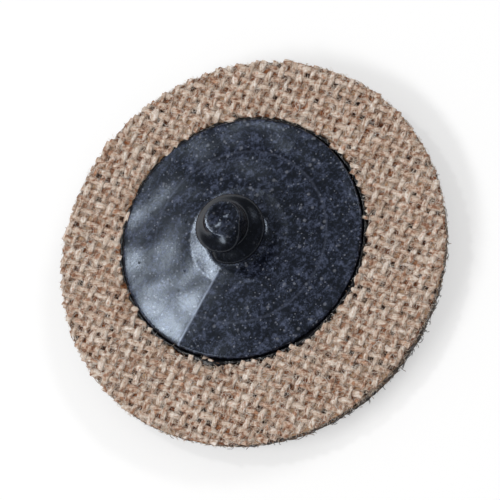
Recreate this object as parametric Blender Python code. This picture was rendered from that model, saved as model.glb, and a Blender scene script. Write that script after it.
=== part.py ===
# A surface conditioning disc that lies on its working face, with its threaded stud up.
# Lengths are in metres, angles in degrees. +Z runs up the stud and the floor is z = 0.

import math
import random

import bmesh
import bpy
from mathutils import Matrix, Vector, noise
from mathutils.geometry import delaunay_2d_cdt

# The disc: web below, cloth above
DISC_DIAMETER = 0.0508
WEB_THICKNESS = 0.0036
CLOTH_THICKNESS = 0.0009
RIM_SIDES = 144

# The open face of the web
PIT_DEPTH = 0.0012
PIT_WIDTH = 0.0029
PIT_SPACING = 0.00132
PIT_SEED = 7
EDGE_UNDERCUT = 0.0010
EDGE_RAGGEDNESS = 0.00028
CENTRE_PAD_DIAMETER = 0.0050

# The plain weave of the cloth
YARN_PITCH = 0.00135
YARN_ANGLE = 22.0
YARN_RELIEF = 0.00018
HOLE_DEPTH = 0.00075
WEAVE_EDGE_MARGIN = 0.00025
PRESSED_CLOTH = 0.00035
RECESS_WALL_SLOPE = 0.00025

# The moulded button: a shallow cone with a flat land round the stud, glued on off centre
BUTTON_OFF_X = 0.0003
BUTTON_OFF_Y = 0.0020
FLANGE_DIAMETER = 0.0315
FLANGE_RIM_HEIGHT = 0.00075
RIM_BEVEL = 0.00028
LAND_OUTER_DIAMETER = 0.0130
LAND_INNER_DIAMETER = 0.0094
CONE_SLOPE = 3.2
PARTING_SLOPE = 2.2
PARTING_ANGLE = 16.4
WITNESS_DIAMETER = 0.0226
WITNESS_STEP = 0.00006
BUTTON_SIDES = 60

# The stud and its coarse moulded thread
STUD_HEIGHT = 0.0071
NECK_DIAMETER = 0.0064
TOP_CORE_DIAMETER = 0.0048
BASE_FILLET = 0.0011
THREAD_PITCH = 0.00345
THREAD_DEPTH = 0.0015
THREAD_START = 0.0013
THREAD_START_ANGLE = 115.0
THREAD_TURNS = 1.48
THREAD_FADE_TURNS = 0.20
TIP_FLAT_DIAMETER = 0.0042
TIP_ROUND = 0.0006
GATE_DIAMETER = 0.0011
GATE_HEIGHT = 0.00015
STUD_RINGS = 25

# The glue that holds the button
GLUE_FILM = 0.00015
GLUE_BEAD_WIDTH = 0.00045
GLUE_BEAD_HEIGHT = 0.00032
GLUE_RAGGEDNESS = 0.00014
GLUE_SEED = 3
CLEARANCE = 0.0002

# Sizes that follow from the ones above
DISC_RADIUS = DISC_DIAMETER / 2
CLOTH_TOP = WEB_THICKNESS + CLOTH_THICKNESS
RECESS_FLOOR = WEB_THICKNESS + PRESSED_CLOTH
FLANGE_BASE = RECESS_FLOOR + GLUE_FILM
FLANGE_RADIUS = FLANGE_DIAMETER / 2
RIM_TOP = FLANGE_BASE + FLANGE_RIM_HEIGHT
BEAD_INNER = FLANGE_RADIUS + CLEARANCE
BEAD_OUTER = BEAD_INNER + GLUE_BEAD_WIDTH + GLUE_RAGGEDNESS
RECESS_RADIUS = BEAD_OUTER + CLEARANCE
RECESS_EDGE = RECESS_RADIUS + RECESS_WALL_SLOPE
LAND_OUTER = LAND_OUTER_DIAMETER / 2
LAND_HEIGHT = RIM_TOP + (FLANGE_RADIUS - RIM_BEVEL - LAND_OUTER) * math.tan(
    math.radians(CONE_SLOPE + PARTING_SLOPE)
)
BUTTON_AXIS = Vector((BUTTON_OFF_X, BUTTON_OFF_Y, 0))


def clear_scene():
    for item in list(bpy.data.objects):
        bpy.data.objects.remove(item, do_unlink=True)


def principled(name, colour, roughness):
    material = bpy.data.materials.new(name)
    material.use_nodes = True
    shader = material.node_tree.nodes["Principled BSDF"]
    shader.inputs["Base Color"].default_value = (*colour, 1)
    shader.inputs["Roughness"].default_value = roughness
    return material


def add_object(name, bm, material):
    bmesh.ops.recalc_face_normals(bm, faces=bm.faces)
    mesh = bpy.data.meshes.new(name)
    bm.to_mesh(mesh)
    bm.free()
    mesh.materials.append(material)
    mesh.shade_smooth()
    item = bpy.data.objects.new(name, mesh)
    bpy.context.collection.objects.link(item)
    return item


def polar(radius, angle, height):
    return Vector((radius * math.cos(angle), radius * math.sin(angle), height))


def angles(sides):
    return [2 * math.pi * i / sides for i in range(sides)]


def ring(bm, sides, radius, height, centre=Vector((0, 0, 0))):
    """One ring of vertices. Radius and height are numbers or functions of the angle."""
    corners = []
    for angle in angles(sides):
        r = radius(angle) if callable(radius) else radius
        z = height(angle) if callable(height) else height
        corners.append(bm.verts.new(centre + polar(r, angle, z)))
    return corners


def bridge(bm, lower, upper):
    for i in range(len(lower)):
        j = (i + 1) % len(lower)
        bm.faces.new((lower[i], lower[j], upper[j], upper[i]))


def loft(bm, sides, sections):
    """Rings joined in order, closed by a flat cap at each end."""
    rings = [ring(bm, sides, radius, height) for radius, height in sections]
    for lower, upper in zip(rings, rings[1:]):
        bridge(bm, lower, upper)
    bm.faces.new(list(reversed(rings[0])))
    bm.faces.new(rings[-1])


def fill_field(bm, border, hole, points, edges, height):
    """A triangulated field between two rings, its free points set by a height function."""
    rings = border + hole
    flat = [Vector((v.co.x, v.co.y)) for v in rings] + [Vector(p) for p in points]
    ties = [(a + len(rings), b + len(rings)) for a, b in edges]
    ties += [(len(border) + i, len(border) + (i + 1) % len(hole)) for i in range(len(hole))]
    outline = [list(range(len(border)))]
    where, _, faces, origins, _, _ = delaunay_2d_cdt(flat, ties, outline, 1, 1e-7)
    corners = []
    for place, origin in zip(where, origins):
        if origin and origin[0] < len(rings):
            corners.append(rings[origin[0]])
        else:
            corners.append(bm.verts.new((place.x, place.y, height(place.x, place.y))))
    rim_of_hole = set(hole)
    for face in faces:
        if not all(corners[i] in rim_of_hole for i in face):
            bm.faces.new([corners[i] for i in face])


# The web

def scattered(rng, spacing, inner, outer):
    """Points on a ring-shaped area, none nearer to another than most of the spacing."""
    rows = int(outer / spacing) + 1
    points = []
    for i in range(-rows, rows + 1):
        for j in range(-rows, rows + 1):
            x = (i + 0.5 * (j % 2) + rng.uniform(-0.24, 0.24)) * spacing
            y = (j * 0.87 + rng.uniform(-0.22, 0.22)) * spacing
            if inner < math.hypot(x, y) < outer:
                points.append((x, y))
    return points


def pit_height(x, y):
    """The open face: level clumps of fibre at the floor, with pits between them."""
    value = noise.noise(Vector((x / PIT_WIDTH, y / PIT_WIDTH, PIT_SEED * 1.7)))
    value += 0.45 * noise.noise(Vector((2.3 * x / PIT_WIDTH, 2.3 * y / PIT_WIDTH, PIT_SEED)))
    return PIT_DEPTH * min(1.0, max(0.0, 2.4 * value + 0.05))


def web_edge_radius(level):
    """The ragged edge, which the cutting die leaves narrower towards the open face."""
    def radius(angle):
        at = Vector((16 * math.cos(angle), 16 * math.sin(angle), PIT_SEED + 9.3 * level))
        cut = DISC_RADIUS - EDGE_UNDERCUT * (1 - level) ** 1.5
        return cut - EDGE_RAGGEDNESS * (0.55 + 0.9 * noise.noise(at))

    return radius


def build_web(material):
    bm = bmesh.new()
    sides = RIM_SIDES * 3 // 4
    levels = [0.0, 0.3, 0.66, 1.0]
    heights = [0.0004, 0.3 * WEB_THICKNESS, 0.66 * WEB_THICKNESS, WEB_THICKNESS]
    rings = [ring(bm, sides, web_edge_radius(a), z) for a, z in zip(levels, heights)]
    for lower, upper in zip(rings, rings[1:]):
        bridge(bm, lower, upper)
    bm.faces.new(rings[-1])
    pad = CENTRE_PAD_DIAMETER / 2
    pad_ring = ring(bm, 16, pad, 0.0)
    bm.faces.new(pad_ring)
    rng = random.Random(PIT_SEED)
    reach = DISC_RADIUS - EDGE_UNDERCUT - PIT_SPACING
    points = scattered(rng, PIT_SPACING, pad + 0.5 * PIT_SPACING, reach)
    fill_field(bm, rings[0], pad_ring, points, [], pit_height)
    return add_object("abrasive_web", bm, material)


# The cloth

def weave_height(x, y, depth=HOLE_DEPTH):
    """Height of the cloth: crossings of the yarns high, holes between them low."""
    turn = Matrix.Rotation(-math.radians(YARN_ANGLE), 2)
    along, across = turn @ Vector((x, y)) * (math.pi / YARN_PITCH)
    off_a, off_b = math.sin(along) ** 2, math.sin(across) ** 2
    hole = off_a * off_b
    return CLOTH_TOP - YARN_RELIEF * (off_a + off_b - 2 * hole) - depth * hole


def weave_nodes(inner, outer):
    """Half-pitch nodes of the weave round the recess, and the edges round each hole."""
    step = YARN_PITCH / 2
    along = Vector((math.cos(math.radians(YARN_ANGLE)), math.sin(math.radians(YARN_ANGLE))))
    across = Vector((-along.y, along.x))
    middle = BUTTON_AXIS.to_2d()
    reach = int(outer / step * 1.5)
    nodes = {}
    for i in range(-reach, reach + 1):
        for j in range(-reach, reach + 1):
            place = along * (i * step) + across * (j * step)
            if place.length < outer and (place - middle).length > inner:
                nodes[i, j] = place
    index = {key: n for n, key in enumerate(nodes)}
    edges = []
    for i, j in nodes:
        round_hole = [(i + 1, j), (i, j + 1), (i - 1, j), (i, j - 1)]
        if i % 2 and j % 2 and all(key in index for key in round_hole):
            for a, b in zip(round_hole, round_hole[1:] + round_hole[:1]):
                edges.append((index[a], index[b]))
    return list(nodes.values()), edges


def cut_edge(radius, centre=Vector((0, 0, 0))):
    """The height at which a round cut meets the yarns, its holes pressed shut."""
    def height(angle):
        place = centre + polar(radius, angle, 0)
        return weave_height(place.x, place.y, YARN_RELIEF)

    return height


def build_cloth(material):
    bm = bmesh.new()
    foot = ring(bm, RIM_SIDES, DISC_RADIUS, WEB_THICKNESS)
    brow = ring(bm, RIM_SIDES, DISC_RADIUS, cut_edge(DISC_RADIUS))
    bm.faces.new(list(reversed(foot)))
    bridge(bm, foot, brow)
    inner_sides = RIM_SIDES * 2 // 3
    edge_height = cut_edge(RECESS_EDGE, BUTTON_AXIS)
    recess_edge = ring(bm, inner_sides, RECESS_EDGE, edge_height, BUTTON_AXIS)
    recess_floor = ring(bm, inner_sides, RECESS_RADIUS, RECESS_FLOOR, BUTTON_AXIS)
    bridge(bm, recess_edge, recess_floor)
    bm.faces.new(recess_floor)
    nodes, edges = weave_nodes(RECESS_EDGE + WEAVE_EDGE_MARGIN, DISC_RADIUS - WEAVE_EDGE_MARGIN)
    fill_field(bm, brow, recess_edge, nodes, edges, weave_height)
    return add_object("woven_backing", bm, material)


# The glue

def build_glue(material):
    rng = random.Random(GLUE_SEED)
    ragged = [rng.uniform(-1, 1) for _ in range(BUTTON_SIDES)]
    turn = 2 * math.pi / BUTTON_SIDES

    def outer(angle):
        return BEAD_OUTER - GLUE_RAGGEDNESS * (1 - ragged[round(angle / turn)])

    def crest(angle):
        return 0.5 * (outer(angle) + BEAD_INNER)

    sections = [
        (outer, RECESS_FLOOR),
        (outer, RECESS_FLOOR + 0.4 * GLUE_BEAD_HEIGHT),
        (crest, RECESS_FLOOR + GLUE_BEAD_HEIGHT),
        (BEAD_INNER, RECESS_FLOOR + 0.8 * GLUE_BEAD_HEIGHT),
        (BEAD_INNER, FLANGE_BASE),
    ]
    bm = bmesh.new()
    loft(bm, BUTTON_SIDES, sections)
    bmesh.ops.translate(bm, verts=bm.verts, vec=BUTTON_AXIS)
    return add_object("glue_bed", bm, material)


# The button

def cone_height(radius, step=0.0):
    """Height of the flange's upper face, which falls away from the parting line along X."""
    def height(angle):
        off_line = abs(math.sin(angle))
        slope = math.tan(math.radians(CONE_SLOPE + PARTING_SLOPE * off_line))
        return LAND_HEIGHT - (radius - LAND_OUTER) * slope - step

    return height


def flange_sections():
    inner_rim = FLANGE_RADIUS - RIM_BEVEL
    rim = cone_height(inner_rim)
    witness = WITNESS_DIAMETER / 2
    between = (witness + LAND_OUTER) / 2
    return [
        (FLANGE_RADIUS, FLANGE_BASE),
        (FLANGE_RADIUS, lambda angle: rim(angle) - RIM_BEVEL),
        (inner_rim, rim),
        (witness + WITNESS_STEP, cone_height(witness, WITNESS_STEP)),
        (witness, cone_height(witness)),
        (between, cone_height(between)),
        (LAND_OUTER, LAND_HEIGHT),
        (LAND_INNER_DIAMETER / 2, LAND_HEIGHT),
    ]


def core_radius(up):
    """Radius of the stud under its thread, tapered from the neck to the top."""
    share = up / STUD_HEIGHT
    return (NECK_DIAMETER + share * (TOP_CORE_DIAMETER - NECK_DIAMETER)) / 2


def thread_lift(angle, up):
    """How far the rounded right-hand thread stands out, faded at both ends."""
    total = 0.0
    for whole in range(-1, math.ceil(THREAD_TURNS) + 1):
        turns = (angle - math.radians(THREAD_START_ANGLE)) / (2 * math.pi) + whole
        if not 0 <= turns <= THREAD_TURNS:
            continue
        off = (up - THREAD_START - turns * THREAD_PITCH) / THREAD_PITCH
        ends = min(1.0, turns / THREAD_FADE_TURNS, (THREAD_TURNS - turns) / THREAD_FADE_TURNS)
        if abs(off) < 0.5:
            ridge = math.cos(math.pi * off) ** 2
            total = max(total, ridge * math.sin(0.5 * math.pi * ends) ** 2)
    return THREAD_DEPTH * total


def tip_share(up):
    """How much of the stud's radius is left near its rounded top."""
    left = STUD_HEIGHT - up
    if left >= TIP_ROUND:
        return 1.0
    return math.sqrt(max(0.0, 1 - ((TIP_ROUND - left) / TIP_ROUND) ** 2))


def stud_radius(up):
    def radius(angle):
        full = core_radius(up) + thread_lift(angle, up)
        flat = TIP_FLAT_DIAMETER / 2
        return flat + (full - flat) * tip_share(up)

    return radius


def foot_radius(foot, up):
    """The rounded foot, or the thread where that stands out further."""
    return lambda angle: max(foot, core_radius(up) + thread_lift(angle, up))


def fillet_sections():
    """The rounded foot of the stud, from the land up to the neck."""
    start = LAND_INNER_DIAMETER / 2
    reach = start - core_radius(BASE_FILLET)
    sections = []
    for step in range(1, 5):
        turn = math.radians(90 * step / 4)
        up = BASE_FILLET * (1 - math.cos(turn))
        sections.append((foot_radius(start - reach * math.sin(turn), up), LAND_HEIGHT + up))
    return sections


def stud_sections():
    sections = []
    for step in range(1, STUD_RINGS + 1):
        share = step / STUD_RINGS
        up = BASE_FILLET + (STUD_HEIGHT - BASE_FILLET) * math.sin(0.5 * math.pi * share) ** 0.9
        sections.append((stud_radius(up), LAND_HEIGHT + up))
    return sections


def gate_sections():
    """The small round mark that the mould's gate left on the stud's top."""
    top = LAND_HEIGHT + STUD_HEIGHT
    radius = GATE_DIAMETER / 2
    return [(radius, top), (0.8 * radius, top + GATE_HEIGHT)]


def build_button(material):
    bm = bmesh.new()
    stud = fillet_sections() + stud_sections() + gate_sections()
    loft(bm, BUTTON_SIDES, flange_sections() + stud)
    turned = Matrix.Rotation(math.radians(PARTING_ANGLE), 3, "Z")
    bmesh.ops.rotate(bm, verts=bm.verts, cent=(0, 0, 0), matrix=turned)
    bmesh.ops.translate(bm, verts=bm.verts, vec=BUTTON_AXIS)
    return add_object("threaded_button", bm, material)


def main():
    clear_scene()
    build_web(principled("abrasive nylon web", (0.14, 0.11, 0.09), 0.9))
    build_cloth(principled("tan woven cloth", (0.55, 0.40, 0.26), 0.9))
    build_glue(principled("black glue", (0.012, 0.012, 0.014), 0.25))
    build_button(principled("black moulded nylon", (0.03, 0.035, 0.05), 0.4))


main()
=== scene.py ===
import math

import bmesh
import bpy
from mathutils import Matrix, Vector, noise


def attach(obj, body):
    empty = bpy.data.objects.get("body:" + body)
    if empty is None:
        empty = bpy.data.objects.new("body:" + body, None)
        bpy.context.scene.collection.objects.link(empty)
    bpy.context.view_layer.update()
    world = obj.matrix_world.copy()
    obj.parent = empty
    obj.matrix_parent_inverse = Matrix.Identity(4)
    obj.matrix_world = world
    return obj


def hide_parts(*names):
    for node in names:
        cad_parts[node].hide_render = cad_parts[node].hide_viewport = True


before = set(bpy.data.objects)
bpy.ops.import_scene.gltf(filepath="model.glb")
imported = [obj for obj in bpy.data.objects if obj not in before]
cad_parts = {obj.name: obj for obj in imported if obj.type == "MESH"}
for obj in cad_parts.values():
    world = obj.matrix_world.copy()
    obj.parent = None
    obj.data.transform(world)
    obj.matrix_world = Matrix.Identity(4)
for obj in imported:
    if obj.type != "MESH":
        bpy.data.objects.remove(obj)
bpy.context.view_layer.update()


# The abrasive web: a thick open mat of crimped nylon fibre, sprayed with resin and grit,
# baked hard and die-cut to a disc. Its lumps and pits are those of the CAD web, rounded
# and roughened, in dull brown-grey with glints of bare grit.
DISC_RADIUS = 0.0254
WEB_TOP = 0.0036
WEB_LUMP = 0.00016
LUMPS_PER_METRE, GRIT_PER_METRE = 1600, 3900
WEB_LOWEST = 0.00003
WEB_ROUNDINGS = 2
GLINT_SHARE = 0.07


def paint(red, green, blue):
    """A colour as it looks, 0 to 255, in the linear values that a shader takes."""
    def linear(value):
        value /= 255
        return value / 12.92 if value <= 0.04045 else ((value + 0.055) / 1.055) ** 2.4

    return linear(red), linear(green), linear(blue), 1.0


def put(tree, kind, inputs=None, **settings):
    """A new node with its settings, and its inputs set or linked by name or number."""
    node = tree.nodes.new(kind)
    for name, value in settings.items():
        setattr(node, name, value)
    for name, value in (inputs or {}).items():
        if isinstance(value, bpy.types.NodeSocket):
            tree.links.new(value, node.inputs[name])
        else:
            node.inputs[name].default_value = value
    return node


def calc(tree, operation, *values):
    """The result of one Math node."""
    return put(tree, "ShaderNodeMath", dict(enumerate(values)), operation=operation).outputs[0]


def ramp(tree, factor, *stops):
    """A colour ramp's result, from stops of place and colour."""
    node = put(tree, "ShaderNodeValToRGB", {"Fac": factor})
    colours = node.color_ramp.elements
    while len(colours) < len(stops):
        colours.new(0.5)
    for element, (place, colour) in zip(colours, stops):
        element.position = place
        element.color = colour
    return node.outputs["Color"]


def blended(tree, factor, first, second):
    """One colour laid over another by a factor."""
    node = put(tree, "ShaderNodeMix", {0: factor, 6: first, 7: second}, data_type="RGBA")
    return node.outputs[2]


def noisy(tree, place, scale, detail, **more):
    """A cloudy pattern: its value first, then its colour, which holds three values."""
    inputs = {"Vector": place, "Scale": scale, "Detail": detail, **more}
    return put(tree, "ShaderNodeTexNoise", inputs).outputs


def finish_of(name, roughness):
    """A new material, its node tree, its shader and the place on the piece."""
    material = bpy.data.materials.new(name)
    material.use_nodes = True
    tree = material.node_tree
    shader = tree.nodes["Principled BSDF"]
    shader.inputs["Roughness"].default_value = roughness
    return material, tree, shader, put(tree, "ShaderNodeTexCoord").outputs["Object"]


def coloured(tree, shader, colour):
    """The shader's colour, from a pattern."""
    tree.links.new(colour, shader.inputs["Base Color"])


def roughened(tree, shader, height, strength, distance):
    """The shader's surface made uneven by a pattern of heights."""
    inputs = {"Strength": strength, "Distance": distance, "Height": height}
    tree.links.new(put(tree, "ShaderNodeBump", inputs).outputs[0], shader.inputs["Normal"])


def add_piece(name, mesh):
    """A finished mesh as a piece of the disc, in its place."""
    item = bpy.data.objects.new(name, mesh)
    bpy.context.collection.objects.link(item)
    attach(item, "root")
    return item


def web_finish():
    """Matted and clumped fibre in dark brown-grey, with bare grains that glint."""
    material, tree, shader, place = finish_of("resin and grit on matted fibre", 0.8)
    clumps = calc(tree, "MULTIPLY", noisy(tree, place, 900.0, 6.0)[0], 0.4)
    matted = calc(tree, "MULTIPLY_ADD", noisy(tree, place, 4200.0, 8.0)[0], 0.6, clumps)
    fibre = ramp(
        tree, matted,
        (0.36, paint(22, 17, 14)), (0.52, paint(66, 55, 48)), (0.68, paint(128, 108, 90)),
    )
    grains = put(tree, "ShaderNodeTexVoronoi", {"Vector": place, "Scale": 5200.0})
    chosen = put(tree, "ShaderNodeSeparateColor", {0: grains.outputs[1]}).outputs[0]
    glint = calc(tree, "GREATER_THAN", chosen, 1 - GLINT_SHARE)
    grit = blended(tree, calc(tree, "MULTIPLY", glint, 0.6), fibre, paint(176, 176, 182))
    coloured(tree, shader, grit)
    dull = calc(tree, "MULTIPLY_ADD", glint, -0.55, 0.82)
    tree.links.new(dull, shader.inputs["Roughness"])
    roughened(tree, shader, matted, 1.0, 0.00035)
    return material


def web_shell():
    """The CAD web with no lid: merged, cut finer, softened and roughened."""
    bm = bmesh.new()
    bm.from_mesh(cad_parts["abrasive_web"].data)
    bmesh.ops.remove_doubles(bm, verts=bm.verts, dist=1e-6)
    lid = [f for f in bm.faces if all(v.co.z > WEB_TOP - 1e-5 for v in f.verts)]
    bmesh.ops.delete(bm, geom=lid, context="FACES_ONLY")
    axes = {"use_axis_x": True, "use_axis_y": True, "use_axis_z": True}
    for _ in range(WEB_ROUNDINGS):
        bmesh.ops.subdivide_edges(bm, edges=bm.edges, cuts=1, use_grid_fill=True)
        inner = [v for v in bm.verts if not v.is_boundary]
        bmesh.ops.smooth_vert(bm, verts=inner, factor=0.6, **axes)
    bmesh.ops.recalc_face_normals(bm, faces=bm.faces)
    bm.normal_update()
    for v in bm.verts:
        if not v.is_boundary:
            lump = noise.noise(v.co * LUMPS_PER_METRE)
            lump += 0.6 * noise.noise(v.co * GRIT_PER_METRE) - 0.5
            v.co += v.normal * (WEB_LUMP * lump)
            v.co.z = max(v.co.z, WEB_LOWEST)
    return bm


def web_body():
    """The web's shell, closed again where the cloth's ground lies on it."""
    bm = web_shell()
    rim = [e for e in bm.edges if e.is_boundary]
    bmesh.ops.holes_fill(bm, edges=rim, sides=0)
    bmesh.ops.recalc_face_normals(bm, faces=bm.faces)
    mesh = bpy.data.meshes.new("web_body")
    bm.to_mesh(mesh)
    bm.free()
    mesh.shade_smooth()
    mesh.materials.append(web_finish())
    return mesh


web = add_piece("web_body", web_body())
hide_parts("abrasive_web")


# The web's loose fibres: crimped nylon hairs that stand out of the mat on its working face
# and round its cut edge. They are coated with resin, brown-grey below and tan at the top.
HAIR_SIDES = 3
HAIR_BENDS = (0.9, 2.4, 4.3)
HAIR_SHORTEST, HAIR_LONGEST = 0.55, 1.45
CRIMPS_PER_METRE = 700.0
HAIR_SIZE_SEED, HAIR_SHADE_SEED = 11, 23


def new_tree(name, sizes):
    """An empty Geometry Nodes tree with a named input for each of its sizes."""
    tree = bpy.data.node_groups.new(name, "GeometryNodeTree")
    tree.interface.new_socket("Surface", in_out="INPUT", socket_type="NodeSocketGeometry")
    for label, kind in sizes:
        tree.interface.new_socket(label, in_out="INPUT", socket_type="NodeSocket" + kind)
    tree.interface.new_socket("Geometry", in_out="OUTPUT", socket_type="NodeSocketGeometry")
    given = tree.nodes.new("NodeGroupInput").outputs
    return tree, given


def end_tree(tree, geometry, material):
    """Realize Instances and Set Material, which close every tree."""
    real = put(tree, "GeometryNodeRealizeInstances", {0: geometry})
    done = put(tree, "GeometryNodeSetMaterial", {"Geometry": real.outputs[0], "Material": material})
    put(tree, "NodeGroupOutput", {0: done.outputs[0]})
    return tree


def grown(name, tree, surface=None, **values):
    """The plain mesh that a tree makes on a surface, with its inputs set by identifier."""
    bed = bpy.data.objects.new(name, surface or bpy.data.meshes.new(name + " bed"))
    bpy.context.collection.objects.link(bed)
    modifier = bed.modifiers.new("grow", "NODES")
    modifier.node_group = tree
    for item in tree.interface.items_tree:
        key = item.name.replace(" ", "_").lower()
        if item.in_out == "INPUT" and key in values:
            modifier[item.identifier] = values[key]
    graph = bpy.context.evaluated_depsgraph_get()
    mesh = bpy.data.meshes.new_from_object(
        bed.evaluated_get(graph), preserve_all_data_layers=True, depsgraph=graph
    )
    bed.modifiers.remove(modifier)
    bpy.data.objects.remove(bed)
    mesh.name = name
    return mesh


def vector(tree, operation, *values):
    """The result of one Vector Math node."""
    node = put(tree, "ShaderNodeVectorMath", dict(enumerate(values)), operation=operation)
    return node.outputs["Value" if operation in ("LENGTH", "DISTANCE") else "Vector"]


def xyz(tree, x=0.0, y=0.0, z=0.0):
    """Three values as one vector."""
    return put(tree, "ShaderNodeCombineXYZ", {0: x, 1: y, 2: z}).outputs[0]


def split(tree, place):
    """A vector's three values."""
    return put(tree, "ShaderNodeSeparateXYZ", {0: place}).outputs


def position(tree):
    """Where each point of the geometry is at this step of a tree."""
    return put(tree, "GeometryNodeInputPosition").outputs[0]


def stored(tree, geometry, name, value, domain="POINT"):
    """The geometry with a value kept on it under a name."""
    inputs = {"Geometry": geometry, "Name": name, "Value": value}
    kind = "GeometryNodeStoreNamedAttribute"
    return put(tree, kind, inputs, data_type="FLOAT", domain=domain).outputs[0]


def recalled(tree, name):
    """A value that was kept under a name earlier in a tree."""
    kind = "GeometryNodeInputNamedAttribute"
    return put(tree, kind, {"Name": name}, data_type="FLOAT").outputs[0]


def carried(tree, name):
    """In a material, a value that the mesh carries under a name."""
    return put(tree, "ShaderNodeAttribute", attribute_name=name).outputs["Fac"]


def hair_kinds(tree, points):
    """A hair of each bend, 1 long, lying flat with its middle at the origin."""
    kinds = put(tree, "GeometryNodeJoinGeometry")
    for bend in HAIR_BENDS:
        sizes = {
            "Resolution": points, "Radius": 1 / bend, "Start Angle": -bend / 2, "Sweep Angle": bend,
        }
        arc = put(tree, "GeometryNodeCurveArc", sizes).outputs[0]
        middle = {"Geometry": arc, "Translation": (-1 / bend, 0, 0)}
        centred = put(tree, "GeometryNodeTransform", middle).outputs[0]
        one = put(tree, "GeometryNodeGeometryToInstance", {0: centred})
        tree.links.new(one.outputs[0], kinds.inputs[0])
    return kinds.outputs[0]


def one_for_each(tree, low, high, seed):
    """A random number between two for each hair."""
    inputs = {2: low, 3: high, "Seed": seed}
    return put(tree, "FunctionNodeRandomValue", inputs, data_type="FLOAT").outputs[1]


def turned_at_random(tree, rotation, lean, seed):
    """Each hair turned any way round its root, and leaning by up to an angle."""
    back = calc(tree, "MULTIPLY", lean, -1.0)
    limits = {0: xyz(tree, back, back), 1: xyz(tree, lean, lean, 2 * math.pi), "Seed": seed}
    turn = put(tree, "FunctionNodeRandomValue", limits, data_type="FLOAT_VECTOR").outputs[0]
    inputs = {0: rotation, 1: turn}
    kind = "FunctionNodeRotateRotation"
    return put(tree, kind, inputs, rotation_space="LOCAL").outputs[0]


def crimped(tree, hairs, curl):
    """Every hair bent out of its plane by a noise that is its own."""
    own = recalled(tree, "shade")
    stretched = vector(tree, "MULTIPLY", position(tree), (CRIMPS_PER_METRE,) * 3)
    apart = vector(tree, "ADD", stretched, xyz(tree, calc(tree, "MULTIPLY", own, 91.0), own, own))
    sway = vector(tree, "SUBTRACT", noisy(tree, apart, 1.0, 1.0)[1], (0.5, 0.5, 0.5))
    inputs = {0: sway, "Scale": calc(tree, "MULTIPLY", curl, 2.0)}
    offset = put(tree, "ShaderNodeVectorMath", inputs, operation="SCALE").outputs[0]
    moved = {"Geometry": hairs, "Offset": offset}
    return put(tree, "GeometryNodeSetPosition", moved).outputs[0]


def kept_within(tree, hairs, lowest, reach):
    """Every point of the hairs held above a height and inside a radius."""
    x, y, z = split(tree, position(tree))
    above = xyz(tree, x, y, calc(tree, "MAXIMUM", z, lowest))
    far = vector(tree, "LENGTH", vector(tree, "MULTIPLY", above, (1, 1, 0)))
    pull = calc(tree, "MINIMUM", calc(tree, "DIVIDE", reach, far), 1.0)
    drawn = vector(tree, "MULTIPLY", above, xyz(tree, pull, pull, 1.0))
    moved = {"Geometry": hairs, "Position": drawn}
    return put(tree, "GeometryNodeSetPosition", moved).outputs[0]


def hair_tree():
    """Crimped hairs scattered on a surface, each an arc that lies along it and leans out."""
    tree, given = new_tree(
        "crimped hairs",
        [
            ("Density", "Float"), ("Length", "Float"), ("Thickness", "Float"), ("Curl", "Float"),
            ("Lean", "Float"), ("Lift", "Float"), ("Reach", "Float"), ("Points", "Int"),
            ("Seed", "Int"), ("Hair", "Material"),
        ],
    )
    seed, thickness = given["Seed"], given["Thickness"]
    inputs = {"Mesh": given["Surface"], "Density": given["Density"], "Seed": seed}
    roots = put(tree, "GeometryNodeDistributePointsOnFaces", inputs).outputs
    length = calc(
        tree, "MULTIPLY",
        one_for_each(tree, HAIR_SHORTEST, HAIR_LONGEST, calc(tree, "ADD", seed, HAIR_SIZE_SEED)),
        given["Length"],
    )
    hairs = put(
        tree, "GeometryNodeInstanceOnPoints",
        {
            "Points": roots["Points"], "Instance": hair_kinds(tree, given["Points"]),
            "Pick Instance": True, "Scale": length,
            "Rotation": turned_at_random(tree, roots["Rotation"], given["Lean"], seed),
        },
    )
    shade = one_for_each(tree, 0.0, 1.0, calc(tree, "ADD", seed, HAIR_SHADE_SEED))
    marked = stored(tree, hairs.outputs[0], "shade", shade, "INSTANCE")
    real = put(tree, "GeometryNodeRealizeInstances", {0: marked}).outputs[0]
    lowest = calc(tree, "ADD", given["Lift"], thickness)
    lines = kept_within(tree, crimped(tree, real, given["Curl"]), lowest, given["Reach"])
    across = {"Resolution": HAIR_SIDES, "Radius": calc(tree, "MULTIPLY", thickness, 0.5)}
    section = put(tree, "GeometryNodeCurvePrimitiveCircle", across).outputs[0]
    inputs = {"Curve": lines, "Profile Curve": section, "Fill Caps": True}
    tube = put(tree, "GeometryNodeCurveToMesh", inputs).outputs[0]
    smooth = put(tree, "GeometryNodeSetShadeSmooth", {0: tube}).outputs[0]
    return end_tree(tree, smooth, given["Hair"])


def web_hair_finish():
    """Each hair its own shade: brown-grey at the working face, tan near the cloth."""
    material, tree, shader, place = finish_of("resin-coated web hair", 0.42)
    shade = carried(tree, "shade")
    dark = ramp(
        tree, shade,
        (0.0, paint(34, 27, 23)), (0.4, paint(78, 66, 58)), (0.66, paint(128, 104, 84)),
        (0.84, paint(160, 122, 82)), (0.95, paint(150, 150, 154)),
    )
    tan = ramp(
        tree, shade,
        (0.0, paint(150, 118, 84)), (0.5, paint(190, 165, 134)), (1.0, paint(220, 205, 182)),
    )
    inputs = {0: split(tree, place)[2], 1: WEB_TOP - 0.001, 2: WEB_TOP}
    upper = put(tree, "ShaderNodeMapRange", inputs).outputs[0]
    coloured(tree, shader, blended(tree, upper, dark, tan))
    return material


def hairy_piece(name, bed, slot, **values):
    """A piece made of hairs that grow on a bed."""
    return add_piece(name, grown(name, hairs, bed, **values))


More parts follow.
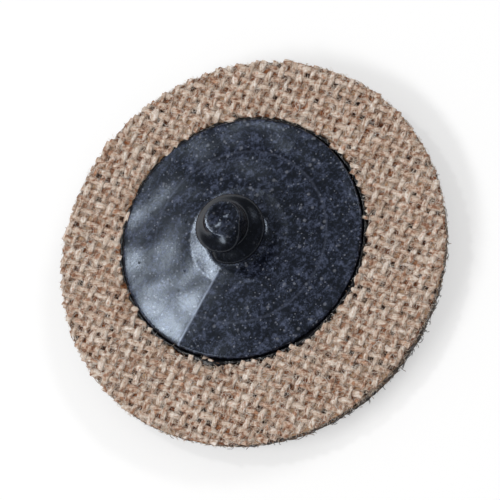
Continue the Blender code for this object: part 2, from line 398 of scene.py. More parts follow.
hairs = hair_tree()
shell = bpy.data.meshes.new("web shell")
web_shell().to_mesh(shell)
hairy_piece(
    "web_hairs", shell, "abrasive_web", density=1.4e6, length=0.0019, thickness=0.00009,
    curl=0.0004, lean=0.2, lift=0.0, reach=DISC_RADIUS, points=8, seed=4, hair=web_hair_finish(),
)


# The ground of the backing: the web's own fibres drawn up between the yarns by the needles
# and set in brown resin. It is the layer that the weave's holes show, bonded to the web.
YARN_PITCH = 0.00135
YARN_ANGLE = 22.0
GROUND_SIDES = 160
GROUND_INSET = 0.0002
GROUND_TOP = 0.00402
PRESSED_TOP = 0.00378
RECESS_RADIUS = 0.0167
BUTTON_AXIS = Vector((0.0003, 0.0020, 0))


def ground_colour_and_painted_hole_shade():
    """Each hole of the weave is its own colour, from tan to resin brown; the darkest cells are
    painted shade for holes that go deep.
    """
    material, tree, shader, place = finish_of("brown needled ground", 0.85)
    inputs = {"Vector": place, "Rotation": (0, 0, -math.radians(YARN_ANGLE))}
    square = put(tree, "ShaderNodeMapping", inputs).outputs[0]
    flat = vector(tree, "MULTIPLY", square, (1 / YARN_PITCH, 1 / YARN_PITCH, 0))
    cell = {"Vector": vector(tree, "FLOOR", flat)}
    hole = put(tree, "ShaderNodeTexWhiteNoise", cell, noise_dimensions="3D").outputs[0]
    fine = noisy(tree, place, 2600.0, 6.0)[0]
    mixed = calc(tree, "MULTIPLY_ADD", calc(tree, "SUBTRACT", fine, 0.5), 0.9, hole)
    # Painted shade: the darkest stop stands for the shade in deep, open holes; the other stops are
    # the resin's own brown and tan.
    brown = ramp(
        tree, mixed,
        (0.1, paint(48, 26, 15)), (0.3, paint(118, 66, 36)), (0.55, paint(168, 106, 66)),
        (0.85, paint(200, 164, 130)),
    )
    coloured(tree, shader, brown)
    roughened(tree, shader, fine, 0.9, 0.0002)
    return material


def ring_of(bm, sides, radius, height, centre=Vector((0, 0, 0))):
    """One ring of vertices, its radius and height numbers or functions of the angle."""
    made = []
    for i in range(sides):
        angle = 2 * math.pi * i / sides
        r = radius(angle) if callable(radius) else radius
        z = height(angle) if callable(height) else height
        made.append(bm.verts.new(centre + Vector((r * math.cos(angle), r * math.sin(angle), z))))
    return made


def joined(bm, lower, upper):
    """Faces all round between two rings."""
    for i in range(len(lower)):
        j = (i + 1) % len(lower)
        bm.faces.new((lower[i], lower[j], upper[j], upper[i]))


def capped_mesh(name, bm, rings):
    """Rings joined from the first to the last and closed at both ends, faces outward."""
    for lower, upper in zip(rings, rings[1:]):
        joined(bm, lower, upper)
    bm.faces.new(list(reversed(rings[0])))
    bm.faces.new(rings[-1])
    bmesh.ops.recalc_face_normals(bm, faces=bm.faces)
    mesh = bpy.data.meshes.new(name)
    bm.to_mesh(mesh)
    bm.free()
    mesh.shade_smooth()
    return mesh


def cloth_ground():
    """A flat disc with softened edges, and the recess that the button is pressed into."""
    bm = bmesh.new()
    edge = DISC_RADIUS - GROUND_INSET
    sections = [(edge, WEB_TOP), (edge, GROUND_TOP - 0.0001), (edge - 0.0001, GROUND_TOP)]
    recess = [(RECESS_RADIUS, GROUND_TOP), (RECESS_RADIUS - 0.0004, PRESSED_TOP)]
    rings = [ring_of(bm, GROUND_SIDES, *section) for section in sections]
    rings += [ring_of(bm, GROUND_SIDES, *section, BUTTON_AXIS) for section in recess]
    mesh = capped_mesh("cloth_ground", bm, rings)
    mesh.materials.append(ground_colour_and_painted_hole_shade())
    return mesh


ground = add_piece("cloth_ground", cloth_ground())
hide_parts("woven_backing")


# The woven cloth: a plain weave of flat-lying spun yarns, cream and tan. Warp and weft pass
# over and under each other, with a hole at each corner, and end ragged in the button's glue.
YARN_WIDTH = 0.00080
YARN_THICKNESS = 0.00036
YARN_RISE = 0.00013
YARN_SIDES = 8
YARN_STEPS = 8
YARN_TRIM = 0.0001
CLOTH_MIDDLE = 0.0042
CLOTH_HOLE = 0.0162
CLOTH_FRAY = 0.0018
FRAY_PER_METRE = 800.0
WANDER = 0.00044
WANDER_PER_METRE = 420.0
ROWS_APART = 9000.0
YARN_DIP = 0.00018
STREAKS_ALONG, STREAKS_AROUND, STREAKS_APART = 900.0, 14.0, 5000.0
TWIST = 2200.0


def line_of(tree, count, start, step):
    """Points in a row."""
    inputs = {"Count": count, "Start Location": start, "Offset": step}
    return put(tree, "GeometryNodeMeshLine", inputs).outputs[0]


def straight_yarns(tree, pitch, outer):
    """Parallel lines of points, each point marked with its place along and its yarn's place."""
    half = calc(tree, "CEIL", calc(tree, "DIVIDE", outer, pitch))
    first = calc(tree, "MULTIPLY", calc(tree, "MULTIPLY", half, pitch), -1.0)
    count = calc(tree, "MULTIPLY_ADD", half, 2.0, 1.0)
    rows = line_of(tree, count, xyz(tree, y=first), xyz(tree, y=pitch))
    count = calc(tree, "MULTIPLY_ADD", half, 2.0 * YARN_STEPS, 1.0)
    step = calc(tree, "MULTIPLY", pitch, 1 / YARN_STEPS)
    run = line_of(tree, count, xyz(tree, first), xyz(tree, step))
    laid = put(tree, "GeometryNodeInstanceOnPoints", {"Points": rows, "Instance": run}).outputs[0]
    real = put(tree, "GeometryNodeRealizeInstances", {0: laid}).outputs[0]
    along, across, _ = split(tree, position(tree))
    return stored(tree, stored(tree, real, "along", along), "yarn", across), along, across


def woven(tree, lines, along, across, given):
    """The lines as yarns that rise and dip, and wander and swell a little."""
    turns = calc(tree, "DIVIDE", calc(tree, "ADD", along, across), given["Pitch"])
    turns = calc(tree, "ADD", turns, given["Phase"])
    wave = calc(tree, "COSINE", calc(tree, "MULTIPLY", turns, math.pi))
    sample = xyz(
        tree, calc(tree, "MULTIPLY", along, WANDER_PER_METRE),
        calc(tree, "MULTIPLY", across, ROWS_APART), given["Seed"],
    )
    side, rise, size = split(tree, noisy(tree, sample, 1.0, 1.0)[1])
    off_side = calc(tree, "MULTIPLY", calc(tree, "SUBTRACT", side, 0.5), given["Wander"])
    off_up = calc(
        tree, "MULTIPLY", calc(tree, "SUBTRACT", rise, 0.5),
        calc(tree, "MULTIPLY", given["Wander"], 0.3),
    )
    swelling = stored(tree, lines, "swell", calc(tree, "MULTIPLY_ADD", size, 1.5, 0.25))
    height = calc(tree, "MULTIPLY_ADD", wave, given["Rise"], given["Middle"])
    offset = xyz(tree, 0.0, off_side, calc(tree, "ADD", height, off_up))
    moved = {"Geometry": swelling, "Offset": offset}
    bent = put(tree, "GeometryNodeSetPosition", moved).outputs[0]
    inputs = {"Geometry": bent, "Rotation": xyz(tree, z=given["Angle"])}
    return put(tree, "GeometryNodeTransform", inputs).outputs[0]


def trimmed(tree, lines, given):
    """The yarns cut at the disc's edge, and raggedly round the button."""
    flat = vector(tree, "MULTIPLY", position(tree), (1, 1, 0))
    reach = vector(tree, "LENGTH", flat)
    to_hole = vector(tree, "DISTANCE", flat, given["Hole Centre"])
    fray = calc(tree, "SUBTRACT", noisy(tree, position(tree), FRAY_PER_METRE, 1.0)[0], 0.5)
    hole = calc(tree, "MULTIPLY_ADD", fray, given["Fray"], given["Hole"])
    kind = "FunctionNodeCompare"
    past = put(tree, kind, {0: reach, 1: given["Outer"]}, operation="GREATER_THAN").outputs[0]
    inside = put(tree, kind, {0: to_hole, 1: hole}, operation="LESS_THAN").outputs[0]
    off = put(tree, "FunctionNodeBooleanMath", {0: past, 1: inside}, operation="OR").outputs[0]
    inputs = {"Geometry": lines, "Selection": off}
    return put(tree, "GeometryNodeDeleteGeometry", inputs, domain="POINT").outputs[0]


def weave_tree():
    """One set of parallel yarns round the hole, each a tube that rises and dips as it crosses."""
    tree, given = new_tree(
        "plain weave yarns",
        [
            ("Pitch", "Float"), ("Outer", "Float"), ("Hole", "Float"), ("Hole Centre", "Vector"),
            ("Fray", "Float"), ("Rise", "Float"), ("Middle", "Float"), ("Width", "Float"),
            ("Thick", "Float"), ("Angle", "Float"), ("Phase", "Float"), ("Wander", "Float"),
            ("Seed", "Float"), ("Yarn", "Material"),
        ],
    )
    lines = woven(tree, *straight_yarns(tree, given["Pitch"], given["Outer"]), given)
    curves = put(tree, "GeometryNodeMeshToCurve", {"Mesh": trimmed(tree, lines, given)}).outputs[0]
    upright = put(tree, "GeometryNodeSetCurveNormal", {"Curve": curves}, mode="Z_UP").outputs[0]
    circle = {"Resolution": YARN_SIDES, "Radius": 0.5}
    section = put(tree, "GeometryNodeCurvePrimitiveCircle", circle).outputs[0]
    around = put(tree, "GeometryNodeSplineParameter").outputs[0]
    inputs = {
        "Geometry": stored(tree, section, "around", around),
        "Scale": xyz(tree, given["Width"], given["Thick"], 1.0),
    }
    oval = put(tree, "GeometryNodeTransform", inputs).outputs[0]
    swell = recalled(tree, "swell")
    inputs = {"Curve": upright, "Profile Curve": oval, "Scale": swell, "Fill Caps": True}
    tube = put(tree, "GeometryNodeCurveToMesh", inputs).outputs[0]
    smooth = put(tree, "GeometryNodeSetShadeSmooth", {0: tube}).outputs[0]
    return end_tree(tree, smooth, given["Yarn"])


def spun_fibre(tree, along, around, yarn):
    """Fine streaks that run along a yarn and twist round it."""
    strand = xyz(
        tree, calc(tree, "MULTIPLY", along, STREAKS_ALONG),
        calc(tree, "MULTIPLY_ADD", around, STREAKS_AROUND, calc(tree, "MULTIPLY", along, TWIST)),
        calc(tree, "MULTIPLY", yarn, STREAKS_APART),
    )
    return noisy(tree, strand, 1.0, 3.0)[0]


def own_shade(tree, along, yarn, light):
    """A random shade for each float, the stretch of a yarn between two dips."""
    turn = calc(tree, "ROUND", calc(tree, "DIVIDE", calc(tree, "ADD", along, yarn), YARN_PITCH))
    row = calc(tree, "ROUND", calc(tree, "DIVIDE", yarn, YARN_PITCH))
    spot = {"Vector": xyz(tree, turn, row, light)}
    return put(tree, "ShaderNodeTexWhiteNoise", spot, noise_dimensions="3D").outputs[0]


def yarn_finish(name, light):
    """Spun fibre with a slight twist, each float its own cream or tan, browner where the yarn dips
    between floats, and stained brown in patches.
    """
    material, tree, shader, place = finish_of(name, 0.8)
    along, around, yarn = (carried(tree, kind) for kind in ("along", "around", "yarn"))
    fibre = spun_fibre(tree, along, around, yarn)
    fleck = noisy(tree, place, 2100.0, 3.0)[0]
    stain = noisy(tree, place, 1300.0, 4.0)[0]
    shade = calc(tree, "MULTIPLY_ADD", calc(tree, "SUBTRACT", fibre, 0.5), 1.4, light)
    shade = calc(tree, "MULTIPLY_ADD", calc(tree, "SUBTRACT", fleck, 0.5), 2.0, shade)
    own = calc(tree, "MULTIPLY_ADD", own_shade(tree, along, yarn, light), 0.22, 0.38)
    cream = ramp(
        tree, calc(tree, "ADD", own, shade),
        (0.02, paint(130, 86, 60)), (0.24, paint(184, 152, 130)), (0.5, paint(210, 192, 175)),
        (0.76, paint(230, 219, 208)), (0.98, paint(250, 245, 240)),
    )
    brown = ramp(
        tree, calc(tree, "MULTIPLY_ADD", fleck, 0.5, calc(tree, "MULTIPLY", fibre, 0.5)),
        (0.36, paint(84, 46, 24)), (0.5, paint(142, 88, 52)), (0.64, paint(194, 134, 86)),
    )
    # Browner the lower the yarn dips below the cloth's middle.
    inputs = {0: split(tree, place)[2], 1: CLOTH_MIDDLE + YARN_DIP, 2: CLOTH_MIDDLE - YARN_DIP}
    mix = calc(tree, "MULTIPLY", put(tree, "ShaderNodeMapRange", inputs).outputs[0], 0.8)
    for patch, least, most, weight in ((stain, 0.51, 0.64, 0.85), (fleck, 0.59, 0.69, 0.75)):
        wet = put(tree, "ShaderNodeMapRange", {0: patch, 1: least, 2: most, 4: weight})
        mix = calc(tree, "MAXIMUM", mix, wet.outputs[0])
    coloured(tree, shader, blended(tree, mix, cream, brown))
    roughened(tree, shader, fibre, 0.8, 0.0001)
    shader.inputs["Sheen Weight"].default_value = 0.2
    return material


weave = weave_tree()
for name, turn, phase, light, seed in (
    ("warp_yarns", 0.0, 0.0, 0.04, 1.0), ("weft_yarns", 90.0, 1.0, -0.06, 2.0)
):
    mesh = grown(
        name, weave, pitch=YARN_PITCH, outer=DISC_RADIUS - YARN_TRIM, hole=CLOTH_HOLE,
        hole_centre=BUTTON_AXIS, fray=CLOTH_FRAY, rise=YARN_RISE, middle=CLOTH_MIDDLE,
        width=YARN_WIDTH, thick=YARN_THICKNESS, angle=math.radians(YARN_ANGLE + turn),
        phase=phase, wander=WANDER, seed=seed, yarn=yarn_finish(name.replace("_", " "), light),
    )
    add_piece(name, mesh)


# The nap: cream and brown hairs that the needles pulled up through the cloth. They lie over
# the weave in loops, thickest at the disc's rim and round the button, and hide it in places.
NAP_LOWEST = 0.0036
NAP_REACH = 0.0256
NAP_HOLE = 0.0169
BUTTON_NAP_INNER, BUTTON_NAP_OUTER = 0.0164, 0.0172
BED_SIDES = 96


def nap_finish():
    """Each hair its own shade, from brown to cream."""
    material, tree, shader, _ = finish_of("cream nap", 0.6)
    cream = ramp(
        tree, carried(tree, "shade"),
        (0.0, paint(104, 60, 34)), (0.16, paint(170, 118, 78)), (0.32, paint(208, 184, 160)),
        (0.7, paint(230, 216, 200)), (0.95, paint(246, 241, 234)),
    )
    coloured(tree, shader, cream)
    shader.inputs["Sheen Weight"].default_value = 0.2
    return material


def ring_bed(name, inner, outer, centre, outer_centre=Vector((0, 0, 0))):
    """A ring-shaped surface, facing up, for hairs to grow on, from two radii and heights."""
    bm = bmesh.new()
    low = ring_of(bm, BED_SIDES, *inner, centre)
    high = ring_of(bm, BED_SIDES, *outer, outer_centre)
    joined(bm, high, low)
    bmesh.ops.reverse_faces(bm, faces=[f for f in bm.faces if f.normal.z < 0])
    mesh = bpy.data.meshes.new(name)
    bm.to_mesh(mesh)
    bm.free()
    return mesh


nap_colours = nap_finish()
cloth_bed = ring_bed("nap bed", (NAP_HOLE, 0.0044), (DISC_RADIUS - 0.0004, 0.00438), BUTTON_AXIS)
rim_bed = ring_bed(
    "rim bed", (DISC_RADIUS - 0.0005, 0.00445), (DISC_RADIUS - 0.0001, WEB_TOP), Vector((0, 0, 0))
)
button_bed = ring_bed(
    "button bed", (BUTTON_NAP_INNER, 0.0043), (BUTTON_NAP_OUTER, 0.0046), BUTTON_AXIS, BUTTON_AXIS
)
nap = hairy_piece(
    "cloth_nap", cloth_bed, "woven_backing", density=3.6e6, length=0.0015, thickness=0.00005,
    curl=0.0004, lean=0.16, lift=NAP_LOWEST, reach=NAP_REACH, points=8, seed=12,
    hair=nap_colours,
)
fuzz = hairy_piece(
    "cloth_fuzz", cloth_bed, "woven_backing", density=6.5e6, length=0.0009, thickness=0.000034,
    curl=0.0003, lean=0.3, lift=NAP_LOWEST, reach=NAP_REACH, points=5, seed=13,
    hair=nap_colours,
)
rim_nap = hairy_piece(
    "rim_nap", rim_bed, "woven_backing", density=1.5e7, length=0.0010, thickness=0.00005,
    curl=0.0003, lean=0.35, lift=NAP_LOWEST - 0.0006, reach=NAP_REACH + 0.0002, points=6,
    seed=31, hair=nap_colours,
)
button_nap = hairy_piece(
    "button_nap", button_bed, "woven_backing", density=8e6, length=0.0012, thickness=0.00004,
    curl=0.0004, lean=0.5, lift=NAP_LOWEST + 0.0002, reach=DISC_RADIUS, points=6, seed=47,
    hair=nap_colours,
)


# The glue bed: black glue spread under the button, squeezed out round its flange in a
# ragged, shiny bead that wets the cloth, with a few short runs over the yarns.
FLANGE_RADIUS = 0.01575
FLANGE_BASE = 0.0041
BEAD_RADIUS = 0.01635
BEAD_TOP = 0.00438
BEAD_SIDES = 480
BEAD_WAVES = ((1.0, 0.00026), (3.3, 0.0002), (9.0, 0.0001))
RUNS = ((213, 5), (259, 6), (288, 5))
RUN_LENGTH = 0.00055
RUN_HEIGHT = 0.00016


def glue_finish():
    """Black, shiny and gently rippled."""
    material, tree, shader, place = finish_of("black set glue", 0.22)
    ripple = noisy(tree, place, 1500.0, 3.0)[0]
    coloured(tree, shader, ramp(tree, ripple, (0.35, paint(8, 8, 9)), (0.7, paint(24, 24, 27))))
    roughened(tree, shader, ripple, 0.6, 0.0002)
    return material


def run_out(angle):
    """A place where more of the glue ran out: 1 in its middle and 0 away from it."""
    off = min(abs(math.degrees(angle) - middle) / width for middle, width in RUNS)
    return math.exp(-off * off)


def bead_edge(angle):
    """How far the bead reaches, wavy and ragged."""
    at = Vector((9 * math.cos(angle), 9 * math.sin(angle), 0.4))
    waves = sum(depth * noise.noise(count * at) for count, depth in BEAD_WAVES)
    return BEAD_RADIUS + waves + RUN_LENGTH * run_out(angle)


def bead_top(angle):
    """How high the bead stands, a little uneven."""
    at = Vector((20 * math.cos(angle), 20 * math.sin(angle), 5.1))
    return BEAD_TOP + 0.00006 * noise.noise(at) + RUN_HEIGHT * run_out(angle)


def glue_bead():
    """The bead and the glue under the flange, as sections from the outside in."""
    bm = bmesh.new()
    sections = [
        (lambda a: bead_edge(a) - 0.0001, PRESSED_TOP - 0.0001),
        (bead_edge, PRESSED_TOP + 0.00014),
        (lambda a: bead_edge(a) - 0.0001, lambda a: bead_top(a) - 0.00012),
        (lambda a: 0.5 * (bead_edge(a) + FLANGE_RADIUS), bead_top),
        (FLANGE_RADIUS + 0.00012, BEAD_TOP - 0.00012),
        (FLANGE_RADIUS + 0.00004, FLANGE_BASE),
    ]
    rings = [ring_of(bm, BEAD_SIDES, *section, BUTTON_AXIS) for section in sections]
    mesh = capped_mesh("glue_bead", bm, rings)
    mesh.materials.append(glue_finish())
    return mesh


glue = add_piece("glue_bead", glue_bead())
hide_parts("glue_bed")


# The button: one piece of moulded black nylon, a shallow conical flange with a stud that
# carries a coarse round-edged thread. The mould's halves meet on a line right across it, and
# a faint ring round the stud is the witness line of the mould's insert.
BUTTON_SIDES = 240
RIM_THICKNESS = 0.00075
RIM_BEVEL = 0.00028
RIM_BREAK = 0.00006
LAND_OUTER = 0.0065
LAND_INNER = 0.0047
CONE_SLOPE = 3.2
PARTING_SLOPE = 2.2
PARTING_ANGLE = 16.4
CONE_WIDTH = FLANGE_RADIUS - RIM_BEVEL - LAND_OUTER
CONE_RISE = CONE_WIDTH * math.tan(math.radians(CONE_SLOPE + PARTING_SLOPE))
LAND_HEIGHT = FLANGE_BASE + RIM_THICKNESS + CONE_RISE
WITNESS_RADIUS = 0.0113
WITNESS_SIDE = math.radians(-30.0)
WITNESS_STEP = 0.00004
WITNESS_WIDTH = 0.00016
# Width and start of the painted highlight along the parting line.
PARTING_HIGHLIGHT_WIDTH = 0.00014
PARTING_HIGHLIGHT_FROM = 0.0052
CREASE_ANGLE = 1.6
CREST_HEIGHT = 0.00002
CREST_WIDTH = 0.0004
DISH_RADIUS = 0.0105
DISH_CURVE = 3.0
PIT_DEPTH = 0.00005
STUD_HEIGHT = 0.0071
NECK_RADIUS = 0.0032
TOP_RADIUS = 0.0024
BASE_FILLET = 0.0011
THREAD_PITCH = 0.00345
THREAD_DEPTH = 0.0015
THREAD_START = 0.0013
THREAD_START_ANGLE = 115.0
THREAD_TURNS = 1.48
THREAD_FADE = 0.20
TIP_RADIUS = 0.0021
TIP_ROUND = 0.0006
GATE_RADIUS = 0.00055
GATE_HEIGHT = 0.00015
FOOT_STEPS = 8
STUD_STEPS = 90


def on_cone(radius, step=0.0):
    """The cone's height as a function of the angle, less the witness line's step."""
    def height(angle):
        slope = math.tan(math.radians(CONE_SLOPE + PARTING_SLOPE * abs(math.sin(angle))))
        shown = (0.5 + 0.5 * math.cos(angle - WITNESS_SIDE)) ** 3
        return LAND_HEIGHT - (radius - LAND_OUTER) * slope - step * shown

    return height


def flange_rings():
    """The flange's underside, bevelled rim, cone with its witness line, and land."""
    inner = FLANGE_RADIUS - RIM_BEVEL
    rim = on_cone(inner)
    rings = [(FLANGE_RADIUS - RIM_BREAK, FLANGE_BASE), (FLANGE_RADIUS, FLANGE_BASE + RIM_BREAK)]
    for turn in range(0, 91, 15):
        a = math.radians(turn)
        drop = RIM_BEVEL * (1 - math.sin(a))
        rings.append((inner + RIM_BEVEL * math.cos(a), lambda t, drop=drop: rim(t) - drop))
    for share in (0.88, 0.68, 0.45, 0.22):
        radius = WITNESS_RADIUS + (inner - WITNESS_RADIUS) * share
        rings.append((radius, on_cone(radius, WITNESS_STEP)))
    radius = WITNESS_RADIUS + 0.00015
    rings.append((radius, on_cone(radius, WITNESS_STEP)))
    for share in (1.0, 0.85, 0.6, 0.35, 0.15, 0.04):
        radius = LAND_OUTER + (WITNESS_RADIUS - LAND_OUTER) * share
        rings.append((radius, on_cone(radius)))
    land = (LAND_OUTER, LAND_OUTER - 0.0002, LAND_INNER)
    return rings + [(radius, LAND_HEIGHT) for radius in land]


def core(up):
    """The radius of the stud's tapering core."""
    return NECK_RADIUS + up / STUD_HEIGHT * (TOP_RADIUS - NECK_RADIUS)


def thread(angle, up):
    """How far the round-edged right-hand thread stands out of the core."""
    total = 0.0
    for whole in range(-1, math.ceil(THREAD_TURNS) + 1):
        turns = (angle - math.radians(THREAD_START_ANGLE)) / (2 * math.pi) + whole
        if 0 <= turns <= THREAD_TURNS:
            off = (up - THREAD_START - turns * THREAD_PITCH) / THREAD_PITCH
            ends = min(1.0, turns / THREAD_FADE, (THREAD_TURNS - turns) / THREAD_FADE)
            if abs(off) < 0.5:
                faded = math.sin(0.5 * math.pi * ends) ** 2
                total = max(total, math.cos(math.pi * off) ** 2 * faded)
    return THREAD_DEPTH * total


def stud_rings():
    """The stud from its rounded foot to the mark of the mould's gate on its top."""
    rings = []
    for step in range(1, FOOT_STEPS + 1):
        turn = math.radians(90 * step / FOOT_STEPS)
        up = BASE_FILLET * (1 - math.cos(turn))
        foot = LAND_INNER - (LAND_INNER - core(BASE_FILLET)) * math.sin(turn)

        def radius(a, foot=foot, up=up):
            return max(foot, core(up) + thread(a, up))

        rings.append((radius, LAND_HEIGHT + up))
    for step in range(1, STUD_STEPS + 1):
        share = math.sin(0.5 * math.pi * step / STUD_STEPS) ** 0.9
        up = BASE_FILLET + (STUD_HEIGHT - BASE_FILLET) * share
        left = max(0.0, TIP_ROUND - (STUD_HEIGHT - up)) / TIP_ROUND
        full = math.sqrt(max(0.0, 1 - left ** 2))

        def radius(a, up=up, full=full):
            return TIP_RADIUS + (core(up) + thread(a, up) - TIP_RADIUS) * full

        rings.append((radius, LAND_HEIGHT + up))
    top = LAND_HEIGHT + STUD_HEIGHT
    return rings + [(GATE_RADIUS, top), (0.85 * GATE_RADIUS, top + GATE_HEIGHT)]


def dots(tree, place, scale, radius, share):
    """Soft round dots strewn in space, on a share of the cells of a Voronoi texture."""
    cells = put(tree, "ShaderNodeTexVoronoi", {"Vector": place, "Scale": scale})
    pick = put(tree, "ShaderNodeSeparateColor", {0: cells.outputs[1]}).outputs[0]
    near = put(tree, "ShaderNodeMapRange", {0: cells.outputs[0], 1: radius, 2: 0.5 * radius})
    return calc(tree, "MULTIPLY", calc(tree, "LESS_THAN", pick, share), near.outputs[0])


def bell(tree, off, width):
    """1 where a distance is 0, and close to 0 two widths away."""
    share = calc(tree, "DIVIDE", off, width)
    square = calc(tree, "MULTIPLY", share, share)
    return calc(tree, "EXPONENT", calc(tree, "MULTIPLY", square, -1.0))


def mottled_nylon(tree, place):
    """Dark nylon with blue-grey clouds and pale specks that are partly dust and partly painted
    glints, and the pattern of the clouds.
    """
    mottle = noisy(tree, place, 2400.0, 7.0, Roughness=0.8)[0]
    cloud = calc(tree, "SUBTRACT", noisy(tree, place, 900.0, 3.0)[0], 0.5)
    colour = ramp(
        tree, calc(tree, "MULTIPLY_ADD", cloud, 0.45, mottle),
        (0.36, paint(6, 8, 15)), (0.5, paint(22, 26, 38)), (0.66, paint(76, 83, 104)),
    )
    # Pale specks: partly dust on the nylon, partly painted glints of its orange-peel surface.
    for scale, share, weight in ((1100, 0.2, 0.2), (1900, 0.26, 0.24), (3000, 0.1, 0.32)):
        dust_and_glint_speck = calc(tree, "MULTIPLY", dots(tree, place, scale, 0.3, share), weight)
        colour = blended(tree, dust_and_glint_speck, colour, paint(190, 194, 206))
    return colour, mottle


def painted_stud_shade(tree, up):
    """How much painted shade darkens the stud: 0 on the flange, most on the flanks of the thread,
    and half of that on the head.
    """
    top = LAND_HEIGHT + STUD_HEIGHT
    foot = {0: up, 1: LAND_HEIGHT + 0.0004, 2: LAND_HEIGHT + 0.0012, 4: 0.85}
    head = {0: up, 1: top - 0.0001, 2: top - 0.0005, 3: 0.45}
    foot, head = (put(tree, "ShaderNodeMapRange", part).outputs[0] for part in (foot, head))
    return calc(tree, "MULTIPLY", foot, head)


def moulded_relief(tree, place, aside, reach):
    """The crease at the parting line, the dished cone, the grain of the mould and its pits."""
    crest = calc(tree, "EXPONENT", calc(tree, "DIVIDE", aside, -CREST_WIDTH))
    crest = calc(tree, "MULTIPLY", crest, CREST_HEIGHT)
    height = calc(tree, "MULTIPLY_ADD", aside, -math.tan(math.radians(CREASE_ANGLE)), crest)
    eased = calc(tree, "MULTIPLY_ADD", reach, 0.5, 0.5 * LAND_OUTER)
    past = calc(tree, "SUBTRACT", calc(tree, "MAXIMUM", reach, eased), DISH_RADIUS)
    height = calc(tree, "MULTIPLY_ADD", calc(tree, "MULTIPLY", past, past), DISH_CURVE, height)
    for scale, detail, depth in ((3800, 3, 0.000006), (1400, 2, 0.000005), (250, 0, 0.00018)):
        height = calc(tree, "MULTIPLY_ADD", noisy(tree, place, scale, detail)[0], depth, height)
    return calc(tree, "MULTIPLY_ADD", dots(tree, place, 900.0, 0.2, 0.2), -PIT_DEPTH, height)


def button_finish():
    """Dark mottled nylon with pits, pale specks partly painted glints, painted shade on the stud,
    and painted highlights on the parting and witness lines.
    """
    material, tree, shader, place = finish_of("black moulded nylon", 0.21)
    inputs = {"Vector": place, "Location": -BUTTON_AXIS}
    centred = put(tree, "ShaderNodeMapping", inputs).outputs[0]
    reach = vector(tree, "LENGTH", vector(tree, "MULTIPLY", centred, (1, 1, 0)))
    inputs = {"Vector": centred, "Rotation": (0, 0, -math.radians(PARTING_ANGLE))}
    beside = split(tree, put(tree, "ShaderNodeMapping", inputs).outputs[0])
    aside = calc(tree, "ABSOLUTE", beside[1])

    colour, mottle = mottled_nylon(tree, place)
    # Painted highlight: a pale ring along the witness line, for the light that its step catches.
    ring = bell(tree, calc(tree, "SUBTRACT", reach, WITNESS_RADIUS), WITNESS_WIDTH)
    ring = calc(tree, "MULTIPLY", calc(tree, "MULTIPLY", ring, mottle), 0.5)
    colour = blended(tree, ring, colour, paint(96, 102, 120))
    # Painted shade: the stud is the same nylon as the flange, darkened towards black where it
    # stands in shade.
    colour = blended(tree, painted_stud_shade(tree, split(tree, place)[2]), colour, paint(8, 9, 14))
    # Painted highlight: a pale line along the parting line on the lit left half of the flange.
    left = calc(tree, "LESS_THAN", beside[0], -PARTING_HIGHLIGHT_FROM)
    parting_highlight = calc(tree, "MULTIPLY", bell(tree, aside, PARTING_HIGHLIGHT_WIDTH), left)
    colour = blended(tree, calc(tree, "MULTIPLY", parting_highlight, 0.5), colour, paint(168, 178, 202))
    coloured(tree, shader, colour)
    roughened(tree, shader, moulded_relief(tree, place, aside, reach), 1.0, 1.0)
    shader.inputs["Specular Tint"].default_value = (0.72, 0.84, 1.0, 1)
    return material


def button_mesh():
    """Flange and stud as one run of rings, turned to the parting line and put in place."""
    bm = bmesh.new()
    rings = [ring_of(bm, BUTTON_SIDES, *section) for section in flange_rings() + stud_rings()]
    turned = Matrix.Rotation(math.radians(PARTING_ANGLE), 3, "Z")
    bmesh.ops.rotate(bm, verts=bm.verts, cent=(0, 0, 0), matrix=turned)
    bmesh.ops.translate(bm, verts=bm.verts, vec=BUTTON_AXIS)
    mesh = capped_mesh("button", bm, rings)
    mesh.materials.append(button_finish())
    return mesh


button = add_piece("button", button_mesh())
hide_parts("threaded_button")


# The studio: a white floor, a key light behind and to the left, which the left of the flange
# mirrors, with a brighter core for the rim, a strip on each side and a ceiling. The camera
# looks down from the front and is held at a slant, as in the photo.
FLOOR_REACH = 3
LIGHTS_AIM = Vector((0, 0, 0.005))
CAMERA_ELEVATION = 63.5
CAMERA_ROLL = 45.0
CAMERA_DISTANCE = 1.0
CAMERA_LENS = 575
CAMERA_AIM = Vector((0, 0.0003, 0.0042))


def floor_finish():
    """White, and glowing a little to the camera so that it fades into the background."""
    material, tree, shader, _ = finish_of("white studio floor", 0.9)
    shader.inputs["Base Color"].default_value = (0.9, 0.9, 0.9, 1)
    shader.inputs["Specular IOR Level"].default_value = 0.1
    glow = put(tree, "ShaderNodeEmission", {"Color": (1, 1, 1, 1), "Strength": 1.25})
    seen = put(tree, "ShaderNodeLightPath").outputs["Is Camera Ray"]
    share = calc(tree, "MULTIPLY", seen, 0.4)
    mixed = put(tree, "ShaderNodeMixShader", {0: share, 1: shader.outputs[0], 2: glow.outputs[0]})
    tree.links.new(mixed.outputs[0], tree.nodes["Material Output"].inputs[0])
    return material


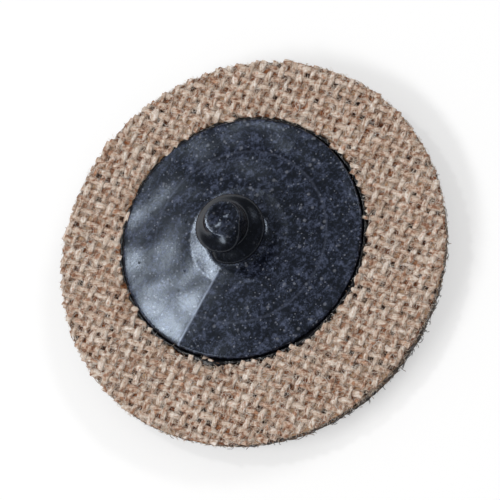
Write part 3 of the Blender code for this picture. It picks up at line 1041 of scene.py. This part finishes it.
floor_mesh = bpy.data.meshes.new("floor")
corners = [(x * FLOOR_REACH, y * FLOOR_REACH, 0) for x, y in ((-1, -1), (1, -1), (1, 1), (-1, 1))]
floor_mesh.from_pydata(corners, [], [(0, 1, 2, 3)])
floor_mesh.materials.append(floor_finish())
floor = bpy.data.objects.new("floor", floor_mesh)
bpy.context.collection.objects.link(floor)

world = bpy.data.worlds.new("studio")
bpy.context.scene.world = world
world.use_nodes = True
sky = world.node_tree
backdrop = sky.nodes["Background"]
backdrop.inputs["Color"].default_value = (1, 1, 1, 1)
rays = put(sky, "ShaderNodeLightPath").outputs
level_lit = calc(sky, "MULTIPLY_ADD", rays["Is Glossy Ray"], -0.26, 0.36)
strength = calc(sky, "MULTIPLY_ADD", rays["Is Camera Ray"], 0.64, level_lit)
sky.links.new(strength, backdrop.inputs["Strength"])


def softbox(name, place, width, depth, power):
    """A rectangular soft light that faces the disc."""
    light = bpy.data.lights.new(name, "AREA")
    light.shape = "RECTANGLE"
    light.size, light.size_y, light.energy = width, depth, power
    item = bpy.data.objects.new(name, light)
    item.location = place
    item.rotation_euler = (LIGHTS_AIM - Vector(place)).to_track_quat("-Z", "Y").to_euler()
    bpy.context.collection.objects.link(item)


softbox("key light", (-0.126, 0.468, 0.759), 0.2, 0.19, 0.15)
softbox("key light's bright core", (-0.08, 0.408, 0.684), 0.05, 0.075, 0.76)
softbox("left strip", (-0.57, 0.1, 0.65), 0.6, 0.16, 3.4)
softbox("right strip", (0.7, 0.0, 0.59), 0.4, 0.1, 1.5)
softbox("ceiling", (0, 0, 1.3), 1.6, 1.6, 1.0)

camera = bpy.data.cameras.new("camera")
camera.lens = CAMERA_LENS
camera.clip_start, camera.clip_end = 0.01, 20
eye = bpy.data.objects.new("camera", camera)
bpy.context.collection.objects.link(eye)
elevation = math.radians(CAMERA_ELEVATION)
back = Vector((0, -math.cos(elevation), math.sin(elevation)))
eye.location = CAMERA_AIM + back * CAMERA_DISTANCE
level = (-back).to_track_quat("-Z", "Y").to_matrix()
rolled = level @ Matrix.Rotation(-math.radians(CAMERA_ROLL), 3, "Z")
eye.rotation_euler = rolled.to_euler()
bpy.context.scene.camera = eye
bpy.context.scene.view_settings.view_transform = "Standard"
